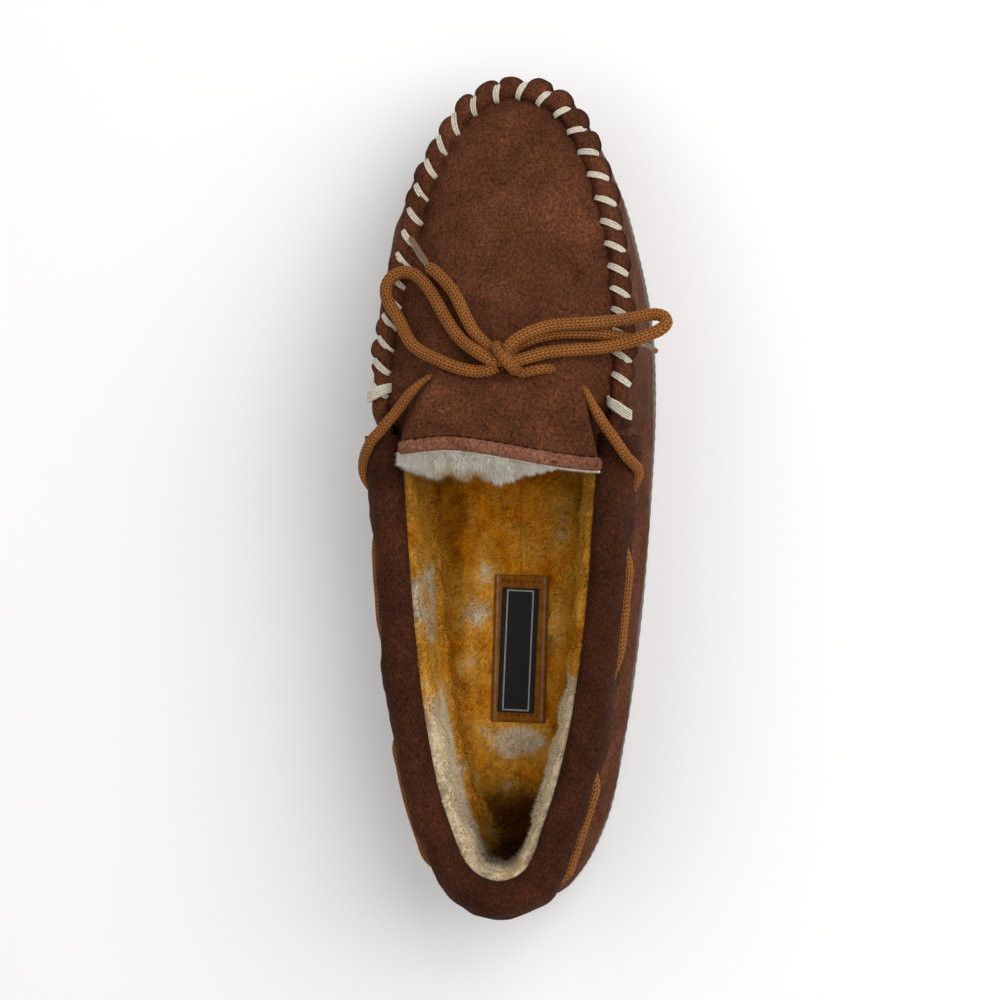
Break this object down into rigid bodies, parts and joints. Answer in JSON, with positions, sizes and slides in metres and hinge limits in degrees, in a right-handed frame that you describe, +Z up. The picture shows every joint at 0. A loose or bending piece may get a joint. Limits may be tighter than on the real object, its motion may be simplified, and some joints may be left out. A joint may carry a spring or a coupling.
{
  "type": "moccasin slipper",
  "caption": "Fleece-lined suede moccasin slipper for the right foot, with a whip-stitched apron, laced collar, tied bow and a tongue that lifts.",
  "frame": {"origin": "on the ground, under the middle of the slipper's box", "axes": "+Y to the toe, +X to the foot's outer side, +Z up"},
  "size_m": [0.1066, 0.2847, 0.0837],
  "materials": {
    "sole_rubber": "matt moulded rubber",
    "board": "fibre board",
    "foam": "soft foam",
    "fleece": "shaggy fleece, gold with cream patches",
    "patch_leather": "smooth tan leather",
    "label_weave": "fine black weave",
    "suede": "brown suede",
    "collar_suede": "dark brown suede",
    "thread": "waxed thread",
    "binding": "light brown leather tape",
    "lace_braid": "round braided cord",
    "aglet_plastic": "clear brown sleeve"
  },
  "bodies": {
    "slipper": {"outsole": "sole_rubber", "insole_board": "board", "insole_foam": "foam", "footbed_fleece": "fleece", "label_patch": "patch_leather", "woven_label": "label_weave", "vamp_wall": "suede", "heel_counter": "board", "toe_puff": "board", "side_lining": "fleece", "vamp_lining": "fleece", "apron": "suede", "collar": "collar_suede", "whip_thread": "thread", "bar_stitch_left": "thread", "bar_stitch_right": "thread", "lace_run": "lace_braid", "lace_knot": "lace_braid", "lace_loop_left": "lace_braid", "lace_loop_right": "lace_braid", "lace_end_left": "lace_braid", "lace_end_right": "lace_braid", "aglet_left": "aglet_plastic", "aglet_right": "aglet_plastic"},
    "tongue": {"tongue_flap": "suede", "tongue_lining": "fleece", "tongue_binding": "binding"}
  },
  "joints": [
    {"name": "tongue_lift", "type": "hinge", "parent": "slipper", "child": "tongue", "pos_m": [0.003, 0.0296, 0.079], "axis": [-1, 0, 0], "range_deg": [0, 45]}
  ]
}
